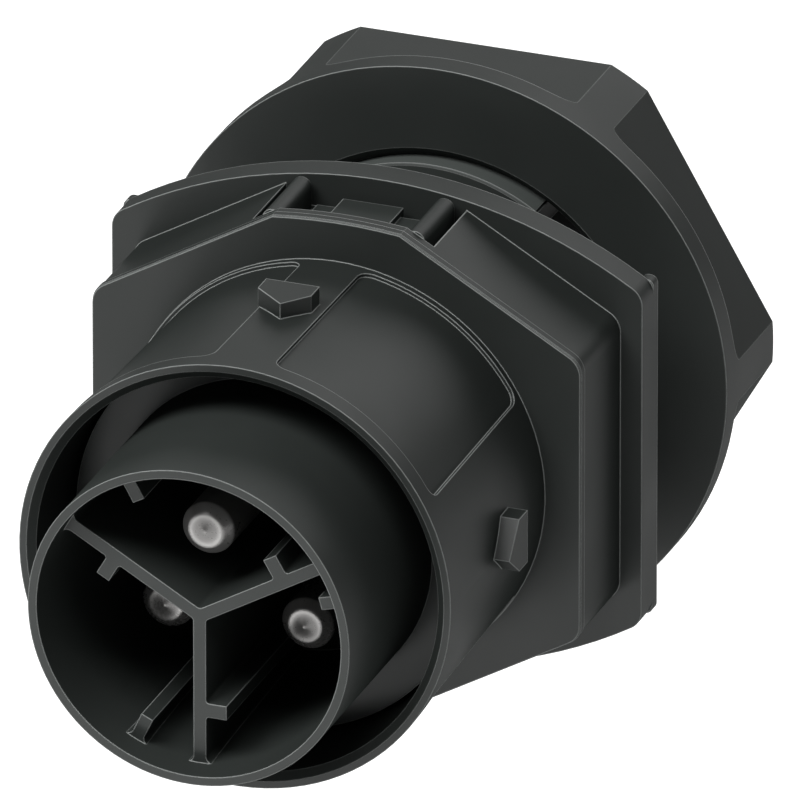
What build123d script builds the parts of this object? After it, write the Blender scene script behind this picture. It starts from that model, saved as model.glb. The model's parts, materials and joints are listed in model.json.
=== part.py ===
from build123d import *
import math
import os

# A three-pole panel installation connector, male side. Millimetres.
# The connector axis is Y: the mating front looks to -Y and the wires leave to +Y.
# The origin is on the axis, in the plane where the flange seats on the panel.

# Running and seating clearances
seatGap = 0.05
slideGap = 0.12
boreGap = 0.3

# How deep an added form is rooted, how far a cutter runs past, and how alike two places may be
root = 0.2
runOut = 1.0
near = 0.01

# Housing, from the rim of the shroud back to the end of the barrel
rimY = -26.7
rimR = 13.7
rimFlat = 0.45
rimChamfer = 0.4
shroudFootR = 13.33
shroudBoreR = 12.75
plateFrontY = -9.65
plateLip = 0.7
lipProud = 0.06
lipChamfer = 0.2
flangeFrontY = -2.7
flangeBackY = -0.75
barrelEndY = 20.8
bodyAcrossFlats = 31.1
bodyCrest = 15.85
bodyArcR = 35.0
bodyCornerR = 1.4
flangeWidth = 33.9
flangeCrest = 15.78
flangeArcR = 31.2
flangeCornerR = 1.3
seatLipWidth = 1.0
seatLipHalf = 11.0
seatLipFillet = 0.45
bodyBoreR = 11.2
shoulderY = -17.5
barrelBoreR = 9.9
barrelShoulderY = -2.4
threadCoreR = 12.3
threadHalfWidth = 6.6
barrelSideR = 11.2
barrelChamfer = 0.8

# Recessed fields and locking lugs on the shroud
fieldDepth = 0.25
fieldFrontY = -25.3
fieldBackY = -10.15
fieldFromTop = 8.2
fieldToSide = 61.8
fieldCorner = 0.8
lugTipY = -19.0
lugShoulderY = -17.3
lugBackY = -15.9
lugLongSide = 2.05
lugShortSide = 1.35
lugTopR = 14.55

# Latch windows between the two column ribs, above and below
pocketHalf = 5.75
pocketFloorZ = 13.4
pocketFrontY = -8.3
windowHalf = 3.7
columnX = 4.55
columnR = 0.62
columnZ = 14.82
columnGap = 0.3
columnChamfer = 0.2

# Contact carrier: tube, partition and rear body with snap hooks
tubeRimY = -34.4
tubeR = 10.18
tubeRimWall = 0.55
tubeFootWall = 0.9
partitionFrontY = -32.55
armThick = 0.8
armAngles = (30, 150, 270)
keyAt = 6.1
keyReach = 1.7
keyWidth = 0.9
wallRibAngles = (15, 119, 245)
wallRibInnerR = 7.9
wallRibWidth = 0.8
hubFillet = 0.3
wallFillet = 0.45
keyFillet = 0.2
stepY = -20.5
chamberFloorY = -16.2
carrierFloorBackY = -9.2
carrierBackY = -3.2
cupR = 9.9
hookHalf = 3.4
hookGap = 0.2
hookTopZ = 14.0
hookBackY = -3.7
tongueHalf = 1.93
tongueTopZ = 14.4
tongueBackY = -3.2

# Carrier seal, a ring of hexagonal section in a groove of the rear body
ringHeight = 1.3
ringHalf = 0.75
ringFlatHalf = 0.3
ringBevel = 0.35
ringY = -13.4

# Pins
pinAt = 5.1
pinR = 1.65
pinTipR = 1.1
pinDomeR = 3.0
pinNeckR = 1.45
pinNeck = 0.4
pinShankR = 1.2
collarR = 2.2
collarThick = 1.2
collarFrontY = -13.2
earthTipY = -31.7
lineTipY = -26.8
poleAngles = {"earth": 90, "phase": 210, "neutral": 330}

# Terminal block behind the carrier, with one pocket for each pole
blockR = 9.6
blockCollarThick = 0.6
pocketStartY = -1.2
blockBackY = 14.8
chamberInner = 1.9
chamberOuter = 8.6
chamberHalf = 2.2

# Clamp of one pole: current bar, leaf spring and release button
barThick = 0.8
barHalf = 1.8
barBackY = 12.3
barFootInset = 1.2
rivetProud = 0.3
springThick = 0.35
springHalf = 1.7
springBackEndY = 5.4
springLoopR = 1.0
springKinkAt = 3.5
springKinkY = 6.0
springTipY = 9.0
wireAt = 6.35
wireHoleR = 1.8
funnelR = 2.1
funnelDepth = 1.5
buttonAt = 3.1
buttonRadial = 1.7
buttonWide = 2.2
buttonCollar = 0.25
buttonCollarThick = 0.8
buttonFrontY = 7.9
coverBackY = 19.4
buttonRecess = 0.2
driverSlot = 0.5
driverSlotDepth = 0.6

# Screw that holds the cover to the block
screwR = 0.8
screwLength = 7.2
screwHeadR = 1.45
screwHeadThick = 0.9
screwRecess = 0.1
screwDriveWidth = 0.4
screwDriveLength = 1.9
screwDriveDepth = 0.5

# Flange gasket and lock nut
gasketInnerR = 12.7
gasketOuterR = 15.2
nutFrontY = 7.9
nutBackY = 16.1
nutFlangeR = 18.5
nutFlangeThick = 1.7
nutAcrossFlats = 33.3
nutFilletR = 0.7
nutBoreR = 12.6
nutMouthR = 13.2


def slab(profile, front, back):
    # a flat profile in X and Z, drawn from front to back along Y
    return extrude(Plane.XZ.offset(-front) * profile, amount=-(back - front))


def rod(radius, front, back, x=0.0, z=0.0):
    return slab(Pos(x, z) * Circle(radius), front, back)


def turned(points):
    # a closed outline of (radius, y) points turned about the Y axis
    return revolve(Plane.XY * make_face(Polyline(*points, close=True)), axis=Axis.Y)


def at(angle):
    # carries a shape from the +X side to an angle that runs from X towards Z
    return Rot(0, -angle, 0)


def box(x0, x1, y0, y1, z0, z1):
    return Pos((x0 + x1) / 2, (y0 + y1) / 2, (z0 + z1) / 2) * Box(x1 - x0, y1 - y0, z1 - z0)


def hexArc(acrossFlats, crest, arcR, cornerR):
    # a hexagon with upright sides whose top and bottom points are cut to shallow arcs
    outline = RegularPolygon(acrossFlats / 2, 6, major_radius=False, rotation=30)
    outline &= Pos(0, crest - arcR) * Circle(arcR)
    outline &= Pos(0, arcR - crest) * Circle(arcR)
    corners = [v for v in outline.vertices() if abs(v.X) > acrossFlats / 2 - near]
    return fillet(corners, cornerR)


def flangeOutline():
    # upright sides under one wide arc at the top and one at the bottom
    outline = Rectangle(flangeWidth, 2 * flangeCrest)
    outline &= Pos(0, flangeCrest - flangeArcR) * Circle(flangeArcR)
    outline &= Pos(0, flangeArcR - flangeCrest) * Circle(flangeArcR)
    return fillet(outline.vertices(), flangeCornerR)


def shroudR(y):
    # the shroud narrows evenly from its rim to the front plate
    return rimR + (shroudFootR - rimR) * (y - rimY) / (plateFrontY - rimY)


def fieldR(y):
    return shroudR(y) - fieldDepth


def makeShroudFields(body):
    # four shallow fields, each from beside the top or bottom land round to the side land
    span = fieldToSide - fieldFromTop
    blank = Plane.XY * make_face(Polyline(
        (fieldR(fieldFrontY), fieldFrontY), (rimR + runOut, fieldFrontY),
        (rimR + runOut, fieldBackY), (fieldR(fieldBackY), fieldBackY), close=True))
    ring = revolve(blank, axis=Axis.Y, revolution_arc=span)
    radial = [e for e in ring.edges() if abs(e.tangent_at(0.5).Y) < near and e.geom_type == GeomType.LINE]
    ring = fillet(radial, fieldCorner)
    for start in (90 - fieldFromTop, 90 + fieldToSide, 270 - fieldFromTop, 270 + fieldToSide):
        body -= at(start) * ring
    return body


def makeLug():
    # an arrow-headed locking lug with one longer side, rooted in the shroud's wall
    foot = shroudBoreR + root
    outline = Plane.YZ.offset(foot) * make_face(Polyline(
        (lugTipY, 0), (lugShoulderY, lugLongSide), (lugBackY, lugLongSide),
        (lugBackY, -lugShortSide), (lugShoulderY, -lugShortSide), close=True))
    return extrude(outline, amount=lugTopR - foot)


def makeHousing():
    shroud = turned([
        (shroudBoreR, shoulderY), (shroudBoreR, rimY + rimChamfer), (rimR - rimFlat, rimY),
        (rimR, rimY), (shroudFootR, plateFrontY), (bodyBoreR, plateFrontY), (bodyBoreR, shoulderY)])
    shroud = makeShroudFields(shroud)
    for quarter in range(4):
        shroud += at(90 * quarter) * makeLug()
    # hexagonal body with its front lip, and the larger flange behind it
    body = slab(hexArc(bodyAcrossFlats, bodyCrest, bodyArcR, bodyCornerR), plateFrontY, flangeFrontY)
    lipFace = hexArc(bodyAcrossFlats + 2 * lipProud, bodyCrest + lipProud, bodyArcR, bodyCornerR)
    lip = slab(lipFace, plateFrontY, plateFrontY + plateLip)
    lip = chamfer(lip.faces().sort_by(Axis.Y)[0].edges(), lipChamfer)
    flange = slab(flangeOutline(), flangeFrontY, flangeBackY)
    for side in (0, 1):
        turn = Rot(0, 180 * side, 0)
        # latch window pocket with its two half-round ribs, which end just short of the flange
        body -= turn * box(-pocketHalf, pocketHalf, pocketFrontY, flangeFrontY, pocketFloorZ, bodyCrest + runOut)
        for x in (-columnX, columnX):
            rib = rod(columnR, pocketFrontY, flangeFrontY - columnGap, x, columnZ)
            rib += box(x - columnR, x + columnR, pocketFrontY, flangeFrontY - columnGap,
                       pocketFloorZ - root, columnZ)
            rim = rib.faces().sort_by(Axis.Y)[-1].edges().filter_by(GeomType.CIRCLE)
            body += turn * chamfer(rim, columnChamfer)
        # seat lip along one upright side of the flange
        half = flangeWidth / 2
        seatLip = box(half - seatLipWidth, half, flangeBackY, 0, -seatLipHalf, seatLipHalf)
        flange += turn * fillet(seatLip.edges().filter_by(Axis.Y), seatLipFillet)
    barrel = rod(barrelSideR, flangeBackY, barrelEndY)
    sector = rod(threadCoreR, flangeBackY, barrelEndY) & box(
        -threadHalfWidth, threadHalfWidth, flangeBackY, barrelEndY, -threadCoreR, threadCoreR)
    sector = chamfer(sector.faces().sort_by(Axis.Y)[-1].edges().filter_by(GeomType.CIRCLE), barrelChamfer)
    housing = shroud + body + lip + flange + barrel + sector
    bore = turned([(0, plateFrontY), (bodyBoreR, plateFrontY), (bodyBoreR, barrelShoulderY),
                   (barrelBoreR, barrelShoulderY), (barrelBoreR, barrelEndY), (0, barrelEndY)])
    housing -= bore
    for side in (0, 1):
        housing -= Rot(0, 180 * side, 0) * box(
            -windowHalf, windowHalf, pocketFrontY, flangeFrontY, 0, bodyCrest)
    return housing


def filletAt(outline, x, y, radius):
    # rounds the corners of a flat outline that lie as far from the axis as the point (x, y)
    corners = [v for v in outline.vertices() if abs(math.hypot(v.X, v.Y) - math.hypot(x, y)) < near]
    return fillet(corners, radius)


def partitionOutline():
    # three arms with a key on one side of each, and ribs on the tube's wall, with rounded roots
    wallR = tubeR - tubeRimWall
    webEndR = tubeR - tubeRimWall / 2
    outline = Circle(webEndR) - Circle(wallR)
    for angle in armAngles:
        arm = Pos(webEndR / 2, 0) * Rectangle(webEndR, armThick)
        arm += Pos(keyAt, keyReach / 2) * Rectangle(keyWidth, keyReach)
        outline += Rot(0, 0, angle) * arm
    for angle in wallRibAngles:
        rib = Pos((wallRibInnerR + webEndR) / 2, 0) * Rectangle(webEndR - wallRibInnerR, wallRibWidth)
        outline += Rot(0, 0, angle) * rib
    outline = filletAt(outline, armThick / 2 / math.sin(math.radians(60)), 0, hubFillet)
    outline = filletAt(outline, wallR, 0, wallFillet)
    for side in (keyAt - keyWidth / 2, keyAt + keyWidth / 2):
        outline = filletAt(outline, side, armThick / 2, keyFillet)
    return outline


def makeCarrier():
    bodyR = bodyBoreR - boreGap
    stepR = shroudBoreR - boreGap
    innerFootR = tubeR - tubeFootWall
    grooveR = bodyBoreR - seatGap - ringHeight - seatGap
    grooveHalf = ringHalf + seatGap
    carrier = turned([
        (0, chamberFloorY), (innerFootR, chamberFloorY), (tubeR - tubeRimWall, tubeRimY), (tubeR, tubeRimY),
        (tubeR, stepY), (stepR, stepY), (stepR, shoulderY - seatGap), (bodyR, shoulderY - seatGap),
        (bodyR, ringY - grooveHalf), (grooveR, ringY - grooveHalf),
        (grooveR, ringY + grooveHalf), (bodyR, ringY + grooveHalf),
        (bodyR, carrierBackY), (cupR, carrierBackY), (cupR, carrierFloorBackY), (0, carrierFloorBackY)])
    carrier += slab(partitionOutline(), partitionFrontY, chamberFloorY + root)
    hookRootR = bodyR * math.cos(math.asin(hookHalf / bodyR)) - root
    for side in (0, 1):
        # snap hook with its raised tongue, standing in the latch window
        hook = box(-hookHalf, hookHalf, pocketFrontY + hookGap, hookBackY, hookRootR, hookTopZ)
        hook += box(-tongueHalf, tongueHalf, pocketFrontY + hookGap, tongueBackY, hookRootR, tongueTopZ)
        carrier += Rot(0, 180 * side, 0) * (hook - rod(cupR + root, pocketFrontY, carrierBackY))
    for angle in poleAngles.values():
        x = pinAt * math.cos(math.radians(angle))
        z = pinAt * math.sin(math.radians(angle))
        carrier -= rod(pinNeckR + seatGap, chamberFloorY - runOut, collarFrontY, x, z)
        carrier -= rod(collarR + seatGap, collarFrontY - seatGap, carrierFloorBackY + runOut, x, z)
    return carrier


def makeSeal():
    # closed ring that fills the groove out to the housing's bore, with bevelled corners
    outer = bodyBoreR - seatGap
    inner = outer - ringHeight
    return turned([
        (inner, ringY - ringHalf), (outer - ringBevel, ringY - ringHalf), (outer, ringY - ringFlatHalf),
        (outer, ringY + ringFlatHalf), (outer - ringBevel, ringY + ringHalf), (inner, ringY + ringHalf)])


def makePin(angle, tipY):
    # contact pin with a domed and chamfered tip, a neck through the floor, a collar and a thinner shank
    x = pinAt * math.cos(math.radians(angle))
    z = pinAt * math.sin(math.radians(angle))
    neckY = chamberFloorY - pinNeck
    domeEndY = tipY + pinDomeR - math.sqrt(pinDomeR ** 2 - pinTipR ** 2)
    dome = RadiusArc((0, tipY), (pinTipR, domeEndY), pinDomeR)
    side = Polyline((pinTipR, domeEndY), (pinR, domeEndY + pinR - pinTipR), (pinR, neckY), (0, neckY), (0, tipY))
    shaft = Pos(x, 0, z) * revolve(Plane.XY * make_face([dome, side]), axis=Axis.Y)
    shaft += rod(pinNeckR, neckY, collarFrontY, x, z)
    shaft += rod(collarR, collarFrontY, collarFrontY + collarThick, x, z)
    return shaft + rod(pinShankR, collarFrontY, pocketStartY + barThick + rivetProud, x, z)


def chamberBox(front, back):
    return box(chamberInner, chamberOuter, front, back, -chamberHalf, chamberHalf)


def makeBlock():
    block = rod(blockR, carrierFloorBackY + seatGap, blockBackY)
    collarY = barrelShoulderY - seatGap
    block += rod(bodyBoreR - boreGap, collarY - blockCollarThick, collarY)
    for angle in poleAngles.values():
        x = pinAt * math.cos(math.radians(angle))
        z = pinAt * math.sin(math.radians(angle))
        block -= at(angle) * chamberBox(pocketStartY, blockBackY + runOut)
        block -= rod(pinShankR + seatGap, carrierFloorBackY, pocketStartY + runOut, x, z)
    screwTipY = coverBackY - screwRecess - screwHeadThick - screwLength
    block -= rod(screwR + seatGap, screwTipY - boreGap, blockBackY + runOut)
    return block


def makeCurrentBar():
    # copper angle: a foot riveted to the pin and a long leg beside the wire
    outer = chamberOuter - seatGap
    foot = box(chamberInner + barFootInset, outer, pocketStartY, pocketStartY + barThick, -barHalf, barHalf)
    foot -= rod(pinShankR, pocketStartY - runOut, pocketStartY + barThick + runOut, pinAt, 0)
    leg = box(outer - barThick, outer, pocketStartY, barBackY, -barHalf, barHalf)
    return foot + leg


def makeSpring():
    # leaf spring: a straight back on the inner wall, a loop, and a kinked leg that slants to the bar
    backAt = chamberInner + seatGap + springThick / 2
    loopY = pocketStartY + barThick + springThick + springLoopR + slideGap
    tipAt = chamberOuter - seatGap - barThick - slideGap - springThick / 2
    back = Line((backAt, springBackEndY), (backAt, loopY))
    loop = CenterArc((backAt + springLoopR, loopY), springLoopR, 180, 180)
    leg = Polyline(loop @ 1, (springKinkAt, springKinkY), (tipAt, springTipY))
    ribbon = trace(Wire([back.edge(), loop.edge()] + list(leg.edges())), springThick)
    return extrude(Plane.XY.offset(-springHalf) * ribbon, amount=2 * springHalf)


def buttonBlock(grow, front, back):
    return box(buttonAt - buttonRadial / 2 - grow, buttonAt + buttonRadial / 2 + grow, front, back,
               -buttonWide / 2 - grow, buttonWide / 2 + grow)


def makeButton():
    top = coverBackY - buttonRecess
    button = buttonBlock(0, buttonFrontY, top)
    collarBack = blockBackY - slideGap
    button += buttonBlock(buttonCollar, collarBack - buttonCollarThick, collarBack)
    button -= box(buttonAt - driverSlot / 2, buttonAt + driverSlot / 2, top - driverSlotDepth, top + runOut,
                  -buttonWide, buttonWide)
    return button


def makeCover():
    # rear cover with wire funnels and button guides, and the screw's sunk hole on the axis
    cover = rod(blockR, blockBackY + seatGap, coverBackY)
    cover -= rod(screwR + seatGap, blockBackY, coverBackY)
    cover -= rod(screwHeadR + slideGap, coverBackY - screwRecess - screwHeadThick - seatGap, coverBackY + runOut)
    for angle in poleAngles.values():
        funnel = turned([(0, blockBackY), (wireHoleR, blockBackY), (wireHoleR, coverBackY - funnelDepth),
                         (funnelR, coverBackY), (0, coverBackY)])
        cover -= at(angle) * Pos(wireAt, 0, 0) * funnel
        cover -= at(angle) * buttonBlock(slideGap, blockBackY, coverBackY + runOut)
    return cover


def makeScrew():
    # pan-head screw with a cross drive
    headBackY = coverBackY - screwRecess
    screw = rod(screwHeadR, headBackY - screwHeadThick, headBackY)
    screw += rod(screwR, headBackY - screwHeadThick - screwLength, headBackY)
    for turn in (0, 90):
        half, wide = screwDriveLength / 2, screwDriveWidth / 2
        screw -= at(turn) * box(-half, half, headBackY - screwDriveDepth, headBackY + runOut, -wide, wide)
    return screw


def makeNut():
    # round flange in front, six flats behind it with a fillet at the foot of each
    nut = turned([(nutBoreR, nutFrontY + nutMouthR - nutBoreR), (nutMouthR, nutFrontY), (nutFlangeR, nutFrontY),
                  (nutFlangeR, nutBackY), (nutMouthR, nutBackY), (nutBoreR, nutBackY - nutMouthR + nutBoreR)])
    flat = box(nutAcrossFlats / 2, nutFlangeR + runOut, nutFrontY + nutFlangeThick, nutBackY + runOut,
               -nutFlangeR, nutFlangeR)
    foot = flat.edges().filter_by(Axis.Z).sort_by(Axis.Y)[:2].sort_by(Axis.X)[0]
    flat = fillet(foot, nutFilletR)
    for step in range(6):
        nut -= at(30 + 60 * step) * flat
    return nut


def makeGasket():
    return rod(gasketOuterR, flangeBackY, -seatGap) - rod(gasketInnerR, flangeBackY - runOut, runOut)


parts = {
    "housing": makeHousing(),
    "contact_carrier": makeCarrier(),
    "carrier_seal": makeSeal(),
    "terminal_block": makeBlock(),
    "terminal_cover": makeCover(),
    "cover_screw": makeScrew(),
    "flange_gasket": makeGasket(),
    "lock_nut": makeNut(),
}
for pole, angle in poleAngles.items():
    parts[pole + "_pin"] = makePin(angle, earthTipY if pole == "earth" else lineTipY)
    parts[pole + "_current_bar"] = at(angle) * makeCurrentBar()
    parts[pole + "_clamp_spring"] = at(angle) * makeSpring()
    parts[pole + "_release_button"] = at(angle) * makeButton()

os.makedirs("parts", exist_ok=True)
for name, shape in parts.items():
    export_step(shape, "parts/" + name + ".step")
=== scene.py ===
import json
import math
import bpy
import numpy as np
from mathutils import Matrix, Vector


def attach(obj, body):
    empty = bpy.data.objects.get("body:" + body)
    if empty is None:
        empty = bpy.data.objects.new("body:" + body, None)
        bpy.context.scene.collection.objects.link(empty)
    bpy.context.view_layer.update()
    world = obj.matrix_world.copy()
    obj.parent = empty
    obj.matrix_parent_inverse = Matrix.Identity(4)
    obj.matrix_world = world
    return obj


# Panel installation connector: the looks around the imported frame. Metres.
# The axis is Y: the mating front looks to -Y, the wires leave to +Y, and the earth pin is on top.

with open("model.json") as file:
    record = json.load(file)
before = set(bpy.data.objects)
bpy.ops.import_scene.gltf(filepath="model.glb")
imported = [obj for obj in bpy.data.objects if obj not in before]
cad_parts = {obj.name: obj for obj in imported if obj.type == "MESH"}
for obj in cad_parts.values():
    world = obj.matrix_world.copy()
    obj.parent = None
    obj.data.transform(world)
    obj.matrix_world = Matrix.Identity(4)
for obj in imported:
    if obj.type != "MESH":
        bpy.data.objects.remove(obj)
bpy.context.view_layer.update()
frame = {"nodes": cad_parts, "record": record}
mm = 0.001
print("frame loaded")


# Node groups, with the pattern that all the finishes share

pattern = {
    "bevelSamples": 8,     # rays that round the normal at an edge
    "fineDetail": 3.0,     # the pits of the moulded grain
    "broadScale": 220.0,   # the clouds in tint and roughness
    "broadDetail": 4.0,
    "middle": 0.5,         # the noise's mean, where tint and roughness keep their own value
    "fineShare": 0.6}      # how much the pits add to the clouds


def makeGroup(name, inputs, outputs):
    # an empty shader group with named sockets, and its two end nodes
    group = bpy.data.node_groups.new(name, "ShaderNodeTree")
    for side, sockets in (("INPUT", inputs), ("OUTPUT", outputs)):
        for label, kind in sockets:
            group.interface.new_socket(label, in_out=side, socket_type="NodeSocket" + kind)
    return group, group.nodes.new("NodeGroupInput"), group.nodes.new("NodeGroupOutput")


def addMath(tree, operation, first, second=None, third=None):
    # a math node whose inputs are sockets or numbers
    node = tree.nodes.new("ShaderNodeMath")
    node.operation = operation
    for index, value in enumerate((first, second, third)):
        if value is None:
            continue
        if isinstance(value, (int, float)):
            node.inputs[index].default_value = value
        else:
            tree.links.new(value, node.inputs[index])
    return node.outputs[0]


def addMix(tree, factor, base):
    # a colour mix from a base colour's socket, with its node for the second colour
    mix = tree.nodes.new("ShaderNodeMix")
    mix.data_type = "RGBA"
    tree.links.new(factor, mix.inputs["Factor"])
    tree.links.new(base, mix.inputs["A"])
    return mix


def makeEdgeGroup():
    # edges and corners: the rounded normal, and a painted highlight, the lighter edge colour, where that
    # normal leaves the surface's own
    group, start, end = makeGroup(
        "softEdge",
        [("Color", "Color"), ("Edge Highlight Color", "Color"), ("Radius", "Float"), ("Gain", "Float")],
        [("Color", "Color"), ("Normal", "Vector")])
    bevel = group.nodes.new("ShaderNodeBevel")
    bevel.samples = pattern["bevelSamples"]
    group.links.new(start.outputs["Radius"], bevel.inputs["Radius"])
    geometry = group.nodes.new("ShaderNodeNewGeometry")
    dot = group.nodes.new("ShaderNodeVectorMath")
    dot.operation = "DOT_PRODUCT"
    group.links.new(bevel.outputs["Normal"], dot.inputs[0])
    group.links.new(geometry.outputs["Normal"], dot.inputs[1])
    leaning = addMath(group, "SUBTRACT", 1.0, dot.outputs["Value"])
    mask = addMath(group, "MULTIPLY", leaning, start.outputs["Gain"])
    mask = addMath(group, "MAXIMUM", addMath(group, "MINIMUM", mask, 1.0), 0.0)
    # painted highlight: the lighter edge colour mixed over the surface's own colour where the rounded
    # normal leans away
    mix = addMix(group, mask, start.outputs["Color"])
    group.links.new(start.outputs["Edge Highlight Color"], mix.inputs["B"])
    group.links.new(mix.outputs["Result"], end.inputs["Color"])
    group.links.new(bevel.outputs["Normal"], end.inputs["Normal"])
    return group


def makeGrainGroup():
    # moulded grain: fine pits for the bump, and both noises together for tint and roughness
    group, start, end = makeGroup(
        "mouldedGrain",
        [("Color", "Color"), ("Scale", "Float"), ("Tint", "Float"), ("Roughness", "Float"),
         ("Roughness Range", "Float")],
        [("Color", "Color"), ("Roughness", "Float"), ("Height", "Float")])
    place = group.nodes.new("ShaderNodeTexCoord")
    fine = group.nodes.new("ShaderNodeTexNoise")
    fine.inputs["Detail"].default_value = pattern["fineDetail"]
    broad = group.nodes.new("ShaderNodeTexNoise")
    broad.inputs["Scale"].default_value = pattern["broadScale"]
    broad.inputs["Detail"].default_value = pattern["broadDetail"]
    group.links.new(place.outputs["Object"], fine.inputs["Vector"])
    group.links.new(place.outputs["Object"], broad.inputs["Vector"])
    group.links.new(start.outputs["Scale"], fine.inputs["Scale"])
    clouds = addMath(group, "SUBTRACT", broad.outputs["Fac"], pattern["middle"])
    pits = addMath(group, "SUBTRACT", fine.outputs["Fac"], pattern["middle"])
    lift = addMath(group, "ADD", clouds, addMath(group, "MULTIPLY", pits, pattern["fineShare"]))
    value = addMath(group, "ADD", 1.0, addMath(group, "MULTIPLY", lift, start.outputs["Tint"]))
    tinted = group.nodes.new("ShaderNodeHueSaturation")
    group.links.new(start.outputs["Color"], tinted.inputs["Color"])
    group.links.new(value, tinted.inputs["Value"])
    rough = addMath(
        group, "MULTIPLY_ADD", lift, start.outputs["Roughness Range"], start.outputs["Roughness"])
    group.links.new(tinted.outputs["Color"], end.inputs["Color"])
    group.links.new(rough, end.inputs["Roughness"])
    group.links.new(fine.outputs["Fac"], end.inputs["Height"])
    return group


edgeGroup = makeEdgeGroup()
grainGroup = makeGrainGroup()


# Materials

def useGroup(tree, group, values):
    # a group in a material, with that material's own values
    node = tree.nodes.new("ShaderNodeGroup")
    node.node_tree = group
    for label, value in values.items():
        node.inputs[label].default_value = value
    return node


def grey(value, green=0.0):
    # a grey with the slight green cast of the photograph's charcoal: red drops by it, blue by half
    return (value * (1 - green), value, value * (1 - green / 2), 1)


def fadeGloss(tree, shader, look):
    # satin gloss that fades where the surface turns away: the level is a power of how squarely it faces
    weight = tree.nodes.new("ShaderNodeLayerWeight")
    weight.inputs["Blend"].default_value = look["facingBlend"]
    squarely = addMath(tree, "SUBTRACT", 1.0, weight.outputs["Facing"])
    faded = addMath(tree, "POWER", squarely, look["glossFade"])
    level = addMath(tree, "MULTIPLY", faded, look["specular"])
    tree.links.new(level, shader.inputs["Specular IOR Level"])


def makeMaterial(look):
    # one moulded, rubber or metal finish from its dictionary
    material = bpy.data.materials.new(look["name"])
    material.use_nodes = True
    tree = material.node_tree
    shader = tree.nodes["Principled BSDF"]
    shader.inputs["Metallic"].default_value = look["metallic"]
    shader.inputs["Specular IOR Level"].default_value = look["specular"]
    if "glossFade" in look:
        fadeGloss(tree, shader, look)
    grain = useGroup(tree, grainGroup, {
        "Color": look["color"], "Scale": look["grain"], "Tint": look["tint"],
        "Roughness": look["roughness"], "Roughness Range": look["roughnessRange"]})
    edge = useGroup(tree, edgeGroup, {
        "Edge Highlight Color": look["edge"], "Radius": look["edgeRadius"], "Gain": look["edgeGain"]})
    color = grain.outputs["Color"]
    if "paintedCrestLight" in look:  # crests painted lighter, painted light where the nut's flange shades them, by the piece's own attribute
        crest = tree.nodes.new("ShaderNodeAttribute")
        crest.attribute_name = "paintedCrestLight"
        mix = addMix(tree, crest.outputs["Fac"], color)
        mix.inputs["B"].default_value = look["paintedCrestLight"]
        color = mix.outputs["Result"]
    tree.links.new(color, edge.inputs["Color"])
    tree.links.new(edge.outputs["Color"], shader.inputs["Base Color"])
    tree.links.new(grain.outputs["Roughness"], shader.inputs["Roughness"])
    bump = tree.nodes.new("ShaderNodeBump")
    bump.inputs["Strength"].default_value = look["bump"]
    bump.inputs["Distance"].default_value = look["bumpDepth"]
    tree.links.new(grain.outputs["Height"], bump.inputs["Height"])
    tree.links.new(edge.outputs["Normal"], bump.inputs["Normal"])
    tree.links.new(bump.outputs["Normal"], shader.inputs["Normal"])
    return material


# each finish's "edge" colour is a painted highlight along its edges, concave ones as well as convex
plastic = {
    "color": grey(0.033, 0.12), "edge": grey(0.32, 0.05), "edgeRadius": 0.12 * mm, "edgeGain": 14.0,
    "grain": 9000.0, "tint": 0.25, "roughness": 0.46, "roughnessRange": 0.12,
    "bump": 0.2, "bumpDepth": 0.01 * mm,
    "metallic": 0.0, "specular": 0.5, "glossFade": 2.0, "facingBlend": 0.5}
metal = {
    "color": (0.5, 0.5, 0.51, 1), "edge": (0.6, 0.6, 0.6, 1), "edgeRadius": 0.08 * mm, "edgeGain": 3.0,
    "grain": 5000.0, "tint": 0.1, "roughness": 0.22, "roughnessRange": 0.1,
    "bump": 0.08, "bumpDepth": 0.004 * mm,
    "metallic": 1.0, "specular": 0.5}
looks = {
    "dark_housing": dict(plastic, name="housingPlastic"),
    # a lighter copy of the housing's plastic: painted light for the brightly lit narrow front faces of
    # the partition
    "dark_carrier": dict(plastic, name="carrierPlastic", color=grey(0.042, 0.12)),
    "dark_nut": dict(plastic, name="nutPlastic"),
    "grey_insert": dict(plastic, name="insertPlastic", color=grey(0.12), edge=grey(0.2)),
    "button_plastic": dict(plastic, name="buttonPlastic", color=grey(0.42), edge=grey(0.55)),
    "seal_rubber": dict(plastic, name="sealRubber", color=grey(0.02), edge=grey(0.05), roughness=0.75),
    "contact_metal": dict(  # the pins: dull plating, without an edge line on the small domed tips
        metal, name="contactMetal", color=(0.24, 0.235, 0.23, 1), edgeRadius=0.3 * mm, edgeGain=0.0,
        metallic=0.5, roughness=0.28, bump=0.03),
    "copper_bar": dict(
        metal, name="copperBar", color=(0.72, 0.45, 0.3, 1), edge=(0.85, 0.6, 0.45, 1)),
    "spring_steel": dict(metal, name="springSteel", roughness=0.3),
    "screw_steel": dict(metal, name="screwSteel", roughness=0.3),
}
materials = {slot: makeMaterial(look) for slot, look in looks.items()}
# the thread's plastic: its crests are painted lighter, painted light standing in for the light that the
# nut's flange shades off them
threadPlastic = makeMaterial(dict(
    plastic, name="threadPlastic", paintedCrestLight=grey(0.1, 0.1), edgeGain=5.0))
for entry in frame["record"]["subparts"]:
    node = frame["nodes"][entry["node"]]
    node.data.materials.clear()
    node.data.materials.append(materials[entry["material_slot"]])
print("materials made")


# Pieces

def makePiece(name, vertices, faces, body, material):
    # a mesh piece that rides on a body and wears one finish
    mesh = bpy.data.meshes.new(name)
    mesh.from_pydata([tuple(v) for v in vertices], [], faces)
    mesh.validate()
    piece = bpy.data.objects.new(name, mesh)
    bpy.context.scene.collection.objects.link(piece)
    mesh.materials.append(material)
    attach(piece, body)
    return piece


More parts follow.
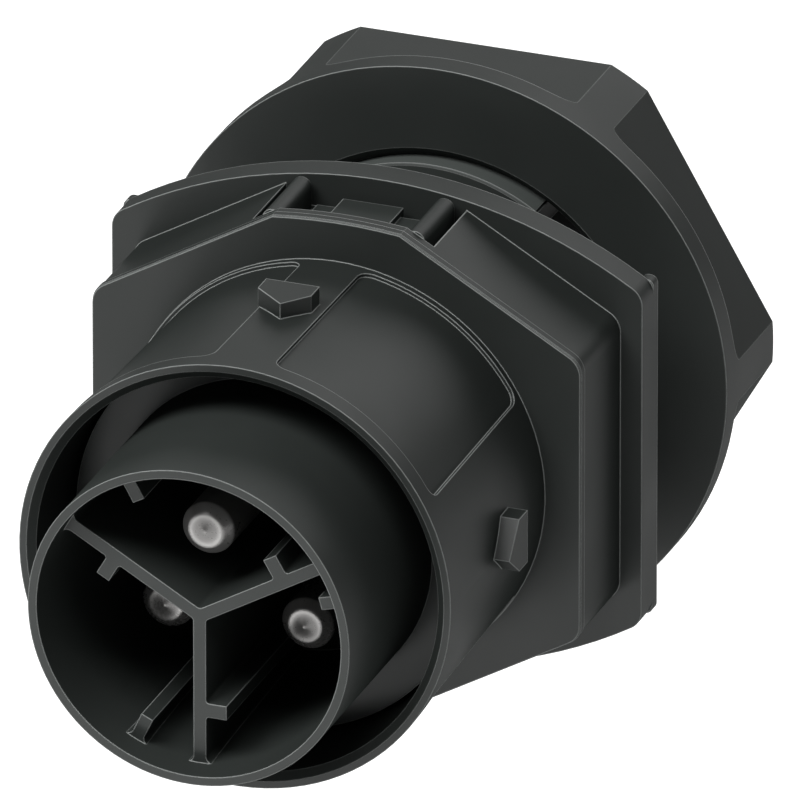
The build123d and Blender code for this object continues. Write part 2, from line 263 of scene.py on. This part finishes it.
thread = {
    "halfAngle": math.radians(31.8),                            # half of one threaded sector
    "rootR": 11.8 * mm,                                         # the inner grid, sunk in the barrel
    "grooveR": 12.27 * mm, "crestR": 12.5 * mm,
    "neckR": 12.38 * mm,                                        # the plain part before the thread begins
    "start": -0.7 * mm, "neckEnd": 7.1 * mm, "end": 19.9 * mm,  # places along the axis
    "pitch": 3.0 * mm, "ridge": 2.3 * mm, "flank": 0.1 * mm,
    "lead": 3.0 * mm,                                           # over which the rows straighten
    "hair": 1e-6 * mm,                                          # settles rows that lie on a flank's foot
    "around": 40, "along": 206}                                 # faces of the outer grid each way


def threadRise(along, turn):
    # where the helix has begun, and how far it has risen from groove (0) to crest (1): the place along
    # the axis less the turn's share of the pitch, wrapped to one pitch, with a straight flank each side
    # of the ridge
    t = thread
    run = along - t["neckEnd"] - t["pitch"] * turn / (2 * math.pi) + t["hair"]
    phase = np.mod(run, t["pitch"])
    rise = np.clip(phase / t["flank"], 0, 1)
    fall = np.clip((t["ridge"] - phase) / t["flank"], 0, 1)
    return run >= 0, np.minimum(rise, fall)


def makeShellFaces(rows, columns):
    # faces of a closed shell: an outer grid, an inner grid numbered after it, and the rim between them
    wide = columns + 1
    count = (rows + 1) * wide
    faces = []
    for row in range(rows):
        for column in range(columns):
            a = row * wide + column
            faces.append((a, a + wide, a + wide + 1, a + 1))
            faces.append((a + count, a + count + 1, a + count + wide + 1, a + count + wide))
    rim = [row * wide for row in range(rows + 1)]
    rim += [rows * wide + column for column in range(1, wide)]
    rim += [row * wide + columns for row in range(rows - 1, -1, -1)]
    rim += list(range(columns - 1, 0, -1))
    for a, b in zip(rim, rim[1:] + rim[:1]):
        faces.append((a, a + count, b + count, b))
    return faces


def makeThreadPatch(name, middle):
    # one threaded sector: an outer grid that follows the helix and an inner grid sunk in the barrel
    t = thread
    turns = np.linspace(-t["halfAngle"], t["halfAngle"], t["around"] + 1)
    places = np.linspace(t["start"], t["end"], t["along"] + 1)
    turn, along = np.meshgrid(turns, places)
    # rows lean with the helix, and straighten over the lead at both ends
    lean = np.clip((along - t["start"]) / t["lead"], 0, 1)
    lean = lean * np.clip((t["end"] - along) / t["lead"], 0, 1)
    along = along + lean * t["pitch"] * turn / (2 * math.pi)
    begun, rise = threadRise(along, turn + middle - math.pi / 2)
    ridged = t["grooveR"] + (t["crestR"] - t["grooveR"]) * rise
    outer = np.where(begun, ridged, t["neckR"])
    angle = turn + middle
    vertices = []
    for radius in (outer, np.full_like(outer, t["rootR"])):
        points = np.stack([radius * np.cos(angle), along, radius * np.sin(angle)], -1)
        vertices += points.reshape(-1, 3).tolist()
    faces = makeShellFaces(t["along"], t["around"])
    piece = makePiece(name, vertices, faces, "connector", threadPlastic)
    # the crests' share of the painted light, from groove (0) to crest (1), and none on the plain neck or
    # the inner grid
    paintedCrestLight = np.concatenate([np.where(begun, rise, 0).ravel(), np.zeros(outer.size)])
    piece.data.attributes.new("paintedCrestLight", "FLOAT", "POINT").data.foreach_set("value", paintedCrestLight)


makeThreadPatch("barrel_thread_top", math.pi / 2)
makeThreadPatch("barrel_thread_bottom", -math.pi / 2)
print("pieces made")


# Camera: the photograph's viewing angle, with a long lens

view = {
    "azimuth": math.radians(20.51), "elevation": math.radians(24.67), "lens": 1500.0,
    "frameWidth": 47.84 * mm,                                    # what the picture spans at the aim
    "rimCentre": (0, -26.7 * mm, 0),                             # the middle of the shroud's rim
    "aside": 9.82 * mm, "above": 10.51 * mm, "beyond": 15 * mm,  # steps from there to the aim
    "nearShare": 0.3, "farShare": 3.0}                           # clipping, as shares of the distance

azimuth, elevation = view["azimuth"], view["elevation"]
right = Vector((math.cos(azimuth), math.sin(azimuth), 0))
toCamera = Vector((math.sin(azimuth) * math.cos(elevation),
                   -math.cos(azimuth) * math.cos(elevation), math.sin(elevation)))
up = toCamera.cross(right)
aim = Vector(view["rimCentre"]) + right * view["aside"] + up * view["above"] - toCamera * view["beyond"]
cameraData = bpy.data.cameras.new("camera")
cameraData.lens = view["lens"]
distance = view["frameWidth"] * view["lens"] / cameraData.sensor_width
cameraData.clip_start = distance * view["nearShare"]
cameraData.clip_end = distance * view["farShare"]
camera = bpy.data.objects.new("camera", cameraData)
bpy.context.scene.collection.objects.link(camera)
camera.location = aim + toCamera * distance
camera.rotation_mode = "QUATERNION"
camera.rotation_quaternion = Matrix((right, up, toCamera)).transposed().to_quaternion()
bpy.context.scene.camera = camera


# Light: two lamps high behind, two high in front, and a small low one that shines on the pins' tips

lamps = {
    "keyLight": {
        "size": (0.35, 0.3), "power": 0.82, "place": (0.13, 0.42, 0.25), "target": (0, 0, 0)},
    "backLight": {
        "size": (0.3, 0.25), "power": 0.33, "place": (-0.16, 0.42, 0.21), "target": (0, 0, 0)},
    "topRightFill": {
        "size": (0.35, 0.2), "power": 0.9, "place": (0.02, -0.25, 0.45), "target": (0, 0, 0)},
    "topLeftFill": {
        "size": (0.3, 0.2), "power": 1.45, "place": (-0.2, -0.25, 0.38), "target": (0, 0, 0)},
    "frontLight": {
        "size": (0.03, 0.02), "power": 0.016, "place": (-0.041, -0.141, -0.054),
        "target": (0, -0.03, 0)},
}
surroundings = {"color": (1, 1, 1, 1), "strength": 0.1}

for name, lamp in lamps.items():
    data = bpy.data.lights.new(name, "AREA")
    data.shape = "RECTANGLE"
    data.size, data.size_y = lamp["size"]
    data.energy = lamp["power"]
    lampObject = bpy.data.objects.new(name, data)
    lampObject.location = lamp["place"]
    aimed = Vector(lamp["target"]) - Vector(lamp["place"])
    lampObject.rotation_euler = aimed.to_track_quat("-Z", "Y").to_euler()
    bpy.context.scene.collection.objects.link(lampObject)
world = bpy.data.worlds.new("studio")
world.use_nodes = True
background = world.node_tree.nodes["Background"]
background.inputs["Color"].default_value = surroundings["color"]
background.inputs["Strength"].default_value = surroundings["strength"]
bpy.context.scene.world = world


# Floor: grey under the object's shadow, and white to the camera and in reflections

floorLook = {
    "height": -0.075, "reach": 3.0, "color": (0.5, 0.5, 0.5, 1), "roughness": 0.9, "glow": 0.95}


def makeFloorMaterial():
    material = bpy.data.materials.new("paleFloor")
    material.use_nodes = True
    tree = material.node_tree
    shader = tree.nodes["Principled BSDF"]
    shader.inputs["Base Color"].default_value = floorLook["color"]
    shader.inputs["Roughness"].default_value = floorLook["roughness"]
    path = tree.nodes.new("ShaderNodeLightPath")
    glow = tree.nodes.new("ShaderNodeEmission")
    seen = addMath(tree, "MAXIMUM", path.outputs["Is Camera Ray"], path.outputs["Is Glossy Ray"])
    seen = addMath(tree, "MAXIMUM", seen, path.outputs["Is Transmission Ray"])
    tree.links.new(addMath(tree, "MULTIPLY", seen, floorLook["glow"]), glow.inputs["Strength"])
    total = tree.nodes.new("ShaderNodeAddShader")
    tree.links.new(shader.outputs[0], total.inputs[0])
    tree.links.new(glow.outputs[0], total.inputs[1])
    tree.links.new(total.outputs[0], tree.nodes["Material Output"].inputs["Surface"])
    return material


reach, height = floorLook["reach"], floorLook["height"]
corners = [(x * reach, y * reach, height) for x, y in ((-1, -1), (1, -1), (1, 1), (-1, 1))]
floorMesh = bpy.data.meshes.new("floor")
floorMesh.from_pydata(corners, [], [(0, 1, 2, 3)])
floorMesh.materials.append(makeFloorMaterial())
floor = bpy.data.objects.new("floor", floorMesh)
bpy.context.scene.collection.objects.link(floor)

bpy.context.scene.view_settings.view_transform = "Standard"
print("camera, light and floor made")
